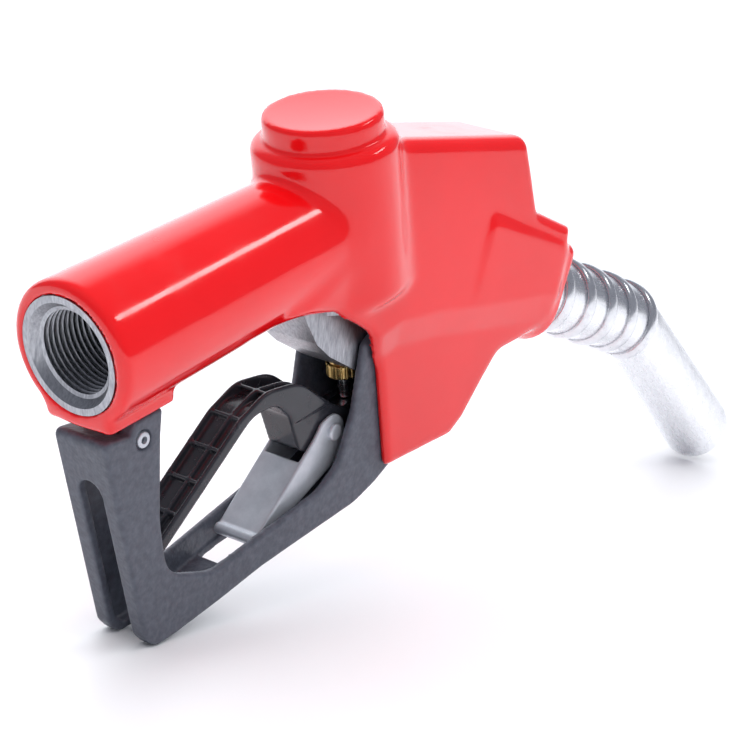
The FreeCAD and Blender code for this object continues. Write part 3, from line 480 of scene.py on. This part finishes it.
def make_acetal():
    """Off-white moulded acetal."""
    n = Nodes("natural_acetal")
    spots = n.noise(90.0, 4.0)
    tone = n.ramp(spots, "Fac", [(0.3, (0.72, 0.71, 0.67, 1)), (0.7, (0.80, 0.80, 0.77, 1))])
    n.link(tone, "Color", n.shader, "Base Color")
    rough = n.ramp(spots, "Fac", [(0.3, grey(0.34)), (0.7, grey(0.42))])
    n.link(rough, "Color", n.shader, "Roughness")
    return n.material


MATERIALS = {
    "vinyl_cover": make_vinyl(),
    "cast_aluminium": make_metal("cast_aluminium", (0.30, 0.31, 0.34, 1), (0.50, 0.51, 0.54, 1), 500.0,
                                 0.30, 0.48, (3.0, 3.0, 0.6), 0.4, 0.0003),
    "machined_aluminium": make_metal("machined_aluminium", (0.70, 0.71, 0.73, 1), (0.82, 0.83, 0.85, 1),
                                     260.0, 0.16, 0.26, (6.0, 1.0, 1.0)),
    "spout_aluminium": make_metal("spout_aluminium", (0.82, 0.83, 0.86, 1), (0.90, 0.91, 0.93, 1), 240.0,
                                  0.24, 0.30, (1.0, 4.0, 1.0), 0.02, 0.0001),
    "zinc_steel": make_zinc(),
    "coil_zinc": make_metal("coil_zinc", (0.70, 0.71, 0.74, 1), (0.84, 0.85, 0.88, 1), 400.0, 0.20, 0.30),
    "spring_steel": make_metal("spring_steel", (0.30, 0.31, 0.33, 1), (0.45, 0.46, 0.48, 1), 300.0,
                               0.25, 0.4),
    "stainless_steel": make_metal("stainless_steel", (0.52, 0.53, 0.54, 1), (0.66, 0.67, 0.68, 1), 300.0,
                                  0.18, 0.3, (1.0, 1.0, 8.0)),
    "brass": make_metal("brass", (0.45, 0.30, 0.10, 1), (0.70, 0.52, 0.22, 1), 300.0, 0.22, 0.38),
    "guard_plastic": make_guard_plastic(),
    "lever_plastic": make_lever_plastic(),
    "acetal": make_acetal(),
    "rubber": make_rubber(),
}


def dress_cad_nodes():
    """Every carried-over node gets the material of its slot."""
    slots = {part["node"]: part["material_slot"] for part in frame["record"]["subparts"]}
    for name, node in frame["nodes"].items():
        node.data.materials.clear()
        node.data.materials.append(MATERIALS[slots[name]])


# ---------------------------------------------------------------- vinyl cover

COVER_WALL = 2.3
GRIP_LENGTH = 100.0
GRIP_RADIUS_REAR = 21.06
GRIP_TAPER = 0.0239
SADDLE_LENGTH = 25.5
SADDLE_HALF = 12.4
COLLAR_RADIUS = 21.35
COLLAR_TOP = 26.1
DISC_RADIUS = 17.5
DISC_TOP = 34.0
DISH_RADIUS = 220.0
DISH_CENTRE = 252.6
NOSE_HALF = 17.0
NOSE_LENGTH = 48.0
INLET_MOUTH_RADIUS = 17.05
NOSE_MOUTH_RADIUS = 14.1
MOUTH_DEPTH = 6.0
BODY_OUTLINE = [
    (94, -4), (98, 20), (112, 24.6, 3), (181.2, 1.7, 5), (182.0, -22.8, 3), (198, -34), (184, -60),
    (172, -62.4, 8), (160.2, -61.9, 8), (151.4, -68.2, 30), (141, -76.2, 3), (134.5, -79.2, 4),
    (104, -76.6, 2.5), (103.6, -43, 12), (98.5, -30, 10), (86, -18.4, 8), (70, -12),
]
UNDERSIDE_OPENING = [
    (78, -34), (82, -17), (98, -19), (150, -30), (152, -60), (140, -70.5), (131, -79), (130, -96),
    (88, -96),
]


def cover_half_width(grid):
    """Half the width of the body: narrow on top, widest at the crease, then drawn in to the skirt."""
    x, z = grid.x, grid.z
    crease = np.interp(x, [84, 103, 112, 130, 149, 178, 190], [-24, -32, -31, -35, -41, -49, -54])
    top = 2.3 - 0.333 * (x - 178.4)
    down = np.clip((top - z) / (top - crease), 0, 1)
    below = np.clip((crease - z) / 9.0, 0, 1)
    return 14.2 + 4.3 * down ** 0.8 - 3.0 * below


def nose_section(grid, above):
    """Section across the outlet: squarish above the axis, nearly round below it."""
    corner = np.where(above > 0, 4.0, 12.0)
    section_y = grid.side - NOSE_HALF + corner
    section_z = np.abs(above + 0.35) - 16.65 + corner
    outside = np.sqrt(np.maximum(section_y, 0) ** 2 + np.maximum(section_z, 0) ** 2)
    return outside + np.minimum(np.maximum(section_y, section_z), 0) - corner


def make_cover():
    """Vinyl skin over the handle, body, cap and outlet, open below for the lever and at both mouths."""
    grid = Grid((-2, -24, -84), (208, 24, 37), 1.0)
    half = cover_half_width(grid)
    edge = np.clip(2.4 + (grid.z + 75) * 0.03, 2.4, 3.4)
    body = rounded_pair(outline_distance(grid, BODY_OUTLINE), grid.side - half, edge)
    radial = np.hypot(grid.y, grid.z) - (GRIP_RADIUS_REAR - GRIP_TAPER * grid.x)
    grip = rounded_pair(radial, np.abs(grid.x - GRIP_LENGTH / 2) - GRIP_LENGTH / 2, 2.6)
    saddle_ends = np.abs(grid.x - SADDLE_LENGTH / 2) - SADDLE_LENGTH / 2
    saddle_plan = rounded_pair(saddle_ends, grid.side - SADDLE_HALF, 2.0)
    saddle = rounded_pair(saddle_plan, np.abs(grid.z + 14) - 6.9, 1.6)
    collar = upright_cylinder(grid, CAP_AXIS, COLLAR_RADIUS, -22, COLLAR_TOP, 3.4)
    disc = upright_cylinder(grid, CAP_AXIS, DISC_RADIUS, 10, DISC_TOP, 2.8)
    from_dish = np.sqrt((grid.x - CAP_AXIS) ** 2 + grid.y ** 2 + (grid.z - DISH_CENTRE) ** 2)
    along, above = outlet_coordinates(grid)
    nose_ends = np.abs(along - (NOSE_END - NOSE_LENGTH / 2)) - NOSE_LENGTH / 2
    nose = rounded_pair(nose_section(grid, above), nose_ends, 1.6)

    outer = blended(grip, saddle, 1.6)
    outer = blended(outer, body, 6.0)
    outer = blended(outer, collar, 3.2)
    outer = blended(outer, nose, 3.0)
    outer = blended(outer, disc, 0.8)
    outer = overlap(outer, DISH_RADIUS - from_dish)
    skin = cut(outer, outer + COVER_WALL)
    opening = rounded_pair(outline_distance(grid, UNDERSIDE_OPENING), grid.side - half + COVER_WALL, 0.6)
    inlet_mouth = overlap(np.hypot(grid.y, grid.z) - INLET_MOUTH_RADIUS, np.abs(grid.x) - MOUTH_DEPTH)
    mouth_ends = np.abs(along - (NOSE_END + 4)) - (MOUTH_DEPTH + 4)
    nose_mouth = overlap(np.hypot(grid.y, above) - NOSE_MOUTH_RADIUS, mouth_ends)
    points, quads = surface(cut(skin, opening, inlet_mouth, nose_mouth), grid)
    new_piece("vinyl_grip_cover", points, quads, MATERIALS["vinyl_cover"], "nozzle_body",
              ("grip_cover",))


# ---------------------------------------------------------------- guard

GUARD_OUTLINE = [
    (-0.3, -23.5, 2), (0.1, -28.0, 3), (6.2, -86.6, 3), (9.4, -91.2, 4), (19, -91.0, 20), (35, -89.1, 60),
    (53, -86.4, 60), (72, -85.0, 60), (92, -83.6, 16), (102, -80.6, 8), (112, -76.6, 8), (134, -75.2, 6),
    (141, -64.0, 6), (145.5, -46, 4), (145.5, -32.4, 3), (109, -32.4, 2),
    (101.4, -35.5, 3), (95.0, -54.6, 12), (86.6, -68.8, 10), (78.0, -73.6, 10), (56, -76.3, 30),
    (34, -79.0, 12),
    (17.4, -72.0, 9), (17.0, -55.0, 20), (20.8, -30.0, 3), (22.6, -22.0, 1), (12, -22.0), (9.8, -25.4, 1),
]
GUARD_ROOM = [
    (3.6, -34.6, 2), (8.8, -85.6, 2), (11.6, -88.8, 2), (19, -88.6, 16), (35, -86.8, 60),
    (53, -84.2, 60), (72, -82.8, 60), (91, -81.4, 14), (101, -78.4, 8), (111, -74.3, 6), (132.6, -73.0, 5),
    (138.4, -63.0, 5), (142.6, -45.4, 4), (142.6, -41.6), (142.6, -20), (100, -20),
    (70, -60), (30, -60), (30, -34.6),
]
GUARD_STRADDLE = [(98, -20), (98, -46), (112, -46), (120, -42.4), (148, -42.4), (148, -20)]


GUARD_WALL = 2.3
GUARD_HALF_REAR = 9.8
GUARD_HALF_GROWTH = 3.2
REAR_SLOT_HALF = 4.4
REAR_SLOT_TOP = -42.2
REAR_SCREW = (14.2, -28.4)


def make_guard():
    """Channel-shaped guard, open above, with its rear slot, hook slot and the seats of its screws."""
    grid = Grid((-2, -14.4, -93), (148, 14.4, -20), 0.6)
    half = GUARD_HALF_REAR + GUARD_HALF_GROWTH * np.clip((grid.x - 20) / 80, 0, 1)
    outside = rounded_pair(outline_distance(grid, GUARD_OUTLINE), grid.side - half, 1.1)
    room = rounded_pair(outline_distance(grid, GUARD_ROOM), grid.side - half + GUARD_WALL, 0.8)
    above_centre = np.maximum(grid.z - REAR_SLOT_TOP, 0)
    rounded_top = np.where(grid.z > REAR_SLOT_TOP, np.hypot(grid.y, above_centre), grid.side)
    rear_slot = overlap(rounded_top - REAR_SLOT_HALF, grid.x - 14, np.abs(grid.z + 70) - 34)
    hook_slot = overlap(np.abs(grid.x - 60.2) - 14.2, grid.side - 8.2, grid.z + 78)
    lug_room = overlap(np.abs(grid.x - REAR_SCREW[0]) - 5.5, grid.side - 5.15, -grid.z - 32.7)
    straddle = overlap(outline_distance(grid, GUARD_STRADDLE), grid.side - 10.4)
    screw_seat = overlap(lateral_cylinder(grid, *REAR_SCREW, 3.0), grid.y + 8.7)
    shell = cut(outside, room, rear_slot, hook_slot, lug_room, straddle, screw_seat)
    points, quads = surface(shell, grid)
    new_piece("lever_guard_moulding", points, quads, MATERIALS["guard_plastic"], "nozzle_body",
              ("lever_guard",))


# ---------------------------------------------------------------- lever

LEVER_OUTLINE = [
    (13.0, -66.6, 1.6), (54.5, -41.2, 14), (66.0, -37.3, 12), (80.0, -40.2, 14), (93.5, -53.4, 14),
    (101, -57.8, 3), (118, -57.6, 6), (124, -54.6, 4), (133.6, -54.8, 5.2), (133.6, -65.2, 5.2),
    (98, -66.2, 6), (84, -65.8, 3), (77.5, -61.5, 3), (74.5, -49.0, 6), (69.6, -43.2, 7), (60, -42.4, 12),
    (14.6, -70.2, 1.6),
]
LEVER_POCKET = [
    (13.2, -60.6), (52.0, -35.0, 14), (66.3, -31.0, 14), (84.0, -34.0, 14), (98.0, -49.0), (92.0, -56.5, 3),
    (78.4, -45.0, 8), (69.6, -41.0, 8), (59.4, -40.5, 10), (17.4, -66.4, 1),
]
LEVER_HALF = 6.5
RAIL = 1.3
RIB_HALF = 0.6
LEVER_PIVOT_HOLE = 1.55
LATCH_PIN_HOLE = 1.8
RIB_AT = (25.0, 36.2, 47.4, 58.6, 71.0)


def make_lever():
    """Hollow-topped lever with one long rib, cross ribs, a forked nose and relieved cheeks."""
    grid = Grid((11, -7.6, -72.5), (136, 7.6, -35), 0.5)
    outline = outline_distance(grid, LEVER_OUTLINE)
    blank = rounded_pair(outline, grid.side - LEVER_HALF, 0.8)
    pocket = rounded_pair(outline_distance(grid, LEVER_POCKET), grid.side - LEVER_HALF + RAIL, 0.5)
    ribs = np.abs(grid.y + 1.4) - 0.55 + 0 * grid.x
    for along in RIB_AT:
        lean = grid.x - along + (grid.z + 52) * 0.3
        ribs = np.minimum(ribs, np.abs(lean) - RIB_HALF)
    ribs = overlap(ribs, outline + 0.5, grid.side - LEVER_HALF + 0.4)
    shell = blended(cut(blank, pocket), ribs, 0.6)
    fork = overlap(np.abs(grid.x - 131.5) - 10, grid.side - 3.8)
    cheek = overlap(np.abs(grid.x - 86.25) - 13.25, 6.15 - grid.side, np.abs(grid.z + 61.2) - 9.2)
    pivot_hole = lateral_cylinder(grid, *LEVER_PIVOT, LEVER_PIVOT_HOLE)
    pin_hole = lateral_cylinder(grid, *LATCH_PIN, LATCH_PIN_HOLE)
    pad_seat = overlap(np.abs(grid.x - 105.5) - 5.5, grid.side - 3.05, -grid.z - 58.9)
    points, quads = surface(cut(shell, fork, cheek, pivot_hole, pin_hole, pad_seat), grid)
    new_piece("lever_moulding", points, quads, MATERIALS["lever_plastic"], "lever",
              ("operating_lever",))


# ---------------------------------------------------------------- hold-open latch

LATCH_FLANGE = [
    (95.6, -58.6, 4), (92.6, -54.9, 4.4), (86.4, -56.2, 4), (82.4, -60.0, 2), (57.0, -77.6, 1),
    (53.4, -80.1, 1.5), (56.4, -81.6, 1), (70.5, -77.4, 3), (90.5, -70.6, 4), (96.0, -64.2, 4),
]
LATCH_ROOM = [
    (110, -40), (76.3, -40), (76.3, -65.3), (56.4, -79.4, 0.5), (59.5, -90), (110, -90),
]


LATCH_HALF = 7.7
LATCH_SHEET = 1.2
HOOK_BAR = (54.6, -80.0)
HOOK_BAR_RADIUS = 1.8
RIVET_HOLE = 1.52


def make_latch():
    """Channel pressing: two flanges joined by a web, with a rolled hook at its tip."""
    grid = Grid((50, -9, -84), (99, 9, -52), 0.4)
    blank = rounded_pair(outline_distance(grid, LATCH_FLANGE), grid.side - LATCH_HALF, 0.5)
    room = overlap(outline_distance(grid, LATCH_ROOM), grid.side - (LATCH_HALF - LATCH_SHEET))
    hook = rounded_pair(lateral_cylinder(grid, *HOOK_BAR, HOOK_BAR_RADIUS), grid.side - LATCH_HALF, 0.8)
    shell = blended(cut(blank, room), hook, 0.6)
    points, quads = surface(cut(shell, lateral_cylinder(grid, *LATCH_PIN, RIVET_HOLE)), grid)
    new_piece("latch_pressing", points, quads, MATERIALS["zinc_steel"], "latch",
              ("hold_open_latch",))


# ---------------------------------------------------------------- spout and anchor coil

SPOUT_START = 84.0
MOUTH_TAPER = 5.0
BEND_TURN = TIP_ANGLE - OUTLET_ANGLE
BEND_TANGENT = BEND_RADIUS * math.tan(BEND_TURN / 2)
SPOUT_END = BEND_AT - 2 * BEND_TANGENT + BEND_RADIUS * BEND_TURN + TIP_LENGTH
SIDEWAYS = np.array([0, 1.0, 0])


def spout_station(s):
    """Point on the spout's centre line at distance s, and the direction of its underside there."""
    out = np.array([math.cos(OUTLET_ANGLE), 0, -math.sin(OUTLET_ANGLE)])
    tip = np.array([math.cos(TIP_ANGLE), 0, -math.sin(TIP_ANGLE)])
    under = np.array([-math.sin(OUTLET_ANGLE), 0, -math.cos(OUTLET_ANGLE)])
    origin = np.array([OUTLET_START[0], 0, OUTLET_START[1]])
    bend_start = BEND_AT - BEND_TANGENT
    arc = BEND_RADIUS * BEND_TURN
    if s <= bend_start:
        return origin + out * s, under
    angle = min((s - bend_start) / BEND_RADIUS, BEND_TURN)
    down = under * math.cos(angle) - out * math.sin(angle)
    centre = origin + out * bend_start + under * BEND_RADIUS
    past_bend = max(s - bend_start - arc, 0.0)
    return centre - down * BEND_RADIUS + tip * past_bend, down


def rings_to_quads(rings, around, closed):
    """Quads between neighbouring rings; closed also joins the last ring to the first."""
    quads = []
    for i in range(rings if closed else rings - 1):
        first = i * around
        second = (i + 1) % rings * around
        for j in range(around):
            k = (j + 1) % around
            quads.append((first + j, first + k, second + k, second + j))
    return quads


def make_spout():
    """Bent tube with a wall, its mouth drawn in and rounded."""
    around = 96
    inner = SPOUT_RADIUS - SPOUT_WALL
    stations = [(s, SPOUT_RADIUS) for s in np.arange(SPOUT_START, SPOUT_END - MOUTH_TAPER, 1.5)]
    for f in np.linspace(0, 1, 9):
        advance = MOUTH_TAPER * math.sin(f * math.pi / 2) * 0.98
        stations.append((SPOUT_END - MOUTH_TAPER + advance, SPOUT_RADIUS - 1.0 + math.cos(f * math.pi / 2)))
    stations.append((SPOUT_END - 0.02, SPOUT_RADIUS - 1.12))
    stations.append((SPOUT_END - 0.3, inner))
    for s in np.arange(SPOUT_END - 2.0, SPOUT_START, -2.0):
        stations.append((s, inner))
    stations.append((SPOUT_START, inner))
    angles = np.linspace(0, 2 * math.pi, around, endpoint=False)[:, None]
    rings = []
    for s, radius in stations:
        place, down = spout_station(s)
        rings.append(place + radius * (np.cos(angles) * down + np.sin(angles) * SIDEWAYS))
    quads = np.array(rings_to_quads(len(rings), around, True))
    new_piece("spout_tube_drawn", np.concatenate(rings), quads, MATERIALS["spout_aluminium"], "nozzle_body",
              ("spout_tube",))


COIL_PITCH = 13.2
COIL_START = 105.0
COIL_END = 169.0
COIL_PHASE = 1.1
WIRE_HALF_LENGTH = 2.5
WIRE_HEIGHT = 1.5
COIL_GAP = 0.05
STEPS_PER_TURN = 72
FADE_STEPS = 8


def wire_section():
    """Arched wire section as (distance along the tube, height over it), closed by a flat underside."""
    section = []
    for f in np.linspace(0, math.pi, 13):
        section.append((-WIRE_HALF_LENGTH * math.cos(f), COIL_GAP + WIRE_HEIGHT * math.sin(f) ** 0.8))
    for f in np.linspace(1, -1, 5)[1:-1]:
        section.append((WIRE_HALF_LENGTH * f, COIL_GAP))
    return section


def make_coil():
    """Anchor spring: flattened wire wound on the spout, following its bend."""
    section = wire_section()
    around = len(section)
    steps = int((COIL_END - COIL_START) / COIL_PITCH * STEPS_PER_TURN)
    rings = []
    for index in range(steps + 1):
        s = COIL_START + (COIL_END - COIL_START) * index / steps
        angle = COIL_PHASE + 2 * math.pi * (s - COIL_START) / COIL_PITCH
        fade = max(min(1.0, index / FADE_STEPS, (steps - index) / FADE_STEPS), 0.1)
        ring = []
        for along, height in section:
            place, down = spout_station(s + along)
            outward = math.cos(angle) * down + math.sin(angle) * SIDEWAYS
            ring.append(place + outward * (SPOUT_RADIUS + height * fade))
        rings.append(np.array(ring))
    quads = rings_to_quads(len(rings), around, False)
    for base in (0, (len(rings) - 1) * around):
        for j in range(1, around // 2):
            quads.append((base + j, base + j + 1, base + around - 1 - j, base + (around - j) % around))
    new_piece("anchor_coil", np.concatenate(rings), np.array(quads), MATERIALS["coil_zinc"], "nozzle_body",
              ("anchor_spring",))


# ---------------------------------------------------------------- stage

FLOOR_REACH = 9.0
FLOOR_GAP = 0.0002


def make_floor():
    """White table top, wide enough to fill the picture behind the nozzle."""
    mesh = bpy.data.meshes.new("floor")
    level = cad_low.z - FLOOR_GAP
    corners = [(x * FLOOR_REACH, y * FLOOR_REACH, level) for x, y in ((-1, -1), (1, -1), (1, 1), (-1, 1))]
    mesh.from_pydata(corners, [], [(0, 1, 2, 3)])
    floor = bpy.data.objects.new("floor", mesh)
    bpy.context.scene.collection.objects.link(floor)
    n = Nodes("white_table")
    sheen = n.noise(3.0, 2.0)
    tone = n.ramp(sheen, "Fac", [(0.3, (0.86, 0.86, 0.88, 1)), (0.7, (0.90, 0.90, 0.915, 1))])
    n.link(tone, "Color", n.shader, "Base Color")
    n.shader.inputs["Roughness"].default_value = 0.45
    floor.data.materials.append(n.material)


def make_light(name, azimuth, elevation, distance, width, height, radiance, glossy=True):
    """Soft box aimed at the nozzle; azimuth is measured from +X towards +Y."""
    aim = (cad_low + cad_high) / 2
    a, e = math.radians(azimuth), math.radians(elevation)
    out = Vector((math.cos(a) * math.cos(e), math.sin(a) * math.cos(e), math.sin(e)))
    data = bpy.data.lights.new(name, "AREA")
    data.shape = "RECTANGLE"
    data.size = width
    data.size_y = height
    data.energy = radiance * math.pi * width * height
    lamp = bpy.data.objects.new(name, data)
    lamp.location = aim + out * distance
    lamp.rotation_mode = "QUATERNION"
    lamp.rotation_quaternion = (-out).to_track_quat("-Z", "Y")
    lamp.visible_glossy = glossy
    bpy.context.scene.collection.objects.link(lamp)


def make_world():
    """Grey studio with a bright patch low behind the nozzle, which the top faces reflect."""
    world = bpy.data.worlds.new("studio")
    world.use_nodes = True
    tree = world.node_tree
    tree.nodes.clear()
    output = tree.nodes.new("ShaderNodeOutputWorld")
    background = tree.nodes.new("ShaderNodeBackground")
    place = tree.nodes.new("ShaderNodeTexCoord")
    towards_patch = tree.nodes.new("ShaderNodeVectorMath")
    towards_patch.operation = "DOT_PRODUCT"
    towards_patch.inputs[1].default_value = (0.60, 0.74, 0.30)
    ramp = tree.nodes.new("ShaderNodeValToRGB")
    ramp.color_ramp.elements[0].position = 0.72
    ramp.color_ramp.elements[0].color = (0.26, 0.27, 0.31, 1)
    ramp.color_ramp.elements[1].position = 0.90
    ramp.color_ramp.elements[1].color = (1.4, 1.45, 1.55, 1)
    tree.links.new(place.outputs["Generated"], towards_patch.inputs[0])
    tree.links.new(towards_patch.outputs["Value"], ramp.inputs["Fac"])
    tree.links.new(ramp.outputs["Color"], background.inputs["Color"])
    tree.links.new(background.outputs["Background"], output.inputs["Surface"])
    bpy.context.scene.world = world


def make_camera():
    """Long lens from behind and to the right of the handle, a little above it."""
    position = (-421.7, -484.0, 305.9)
    right = turned_to_row((0.641, -0.764, -0.067)).normalized()
    back = turned_to_row((-0.666, -0.598, 0.445)).normalized()
    up = back.cross(right).normalized()
    right = up.cross(back)
    data = bpy.data.cameras.new("camera")
    data.sensor_width = 36.0
    data.lens = 131.44
    data.clip_start = 0.05
    data.clip_end = 60.0
    camera = bpy.data.objects.new("camera", data)
    spot = Vector(to_row([position])[0])
    basis = Matrix((right, up, back)).transposed().to_4x4()
    camera.matrix_world = Matrix.Translation(spot) @ basis
    bpy.context.scene.collection.objects.link(camera)
    bpy.context.scene.camera = camera


make_camera()
make_world()
make_floor()
make_light("key_strip", -42, 49, 1.3, 0.46, 0.12, 9.0)
make_light("side_fill", -112, 24, 1.8, 1.4, 1.4, 1.1, glossy=False)
make_light("ceiling", 42, 70, 4.2, 11.0, 11.0, 1.5, glossy=False)
bpy.context.scene.view_settings.view_transform = "Standard"
dress_cad_nodes()
make_cover()
make_guard()
make_lever()
make_latch()
make_spout()
make_coil()
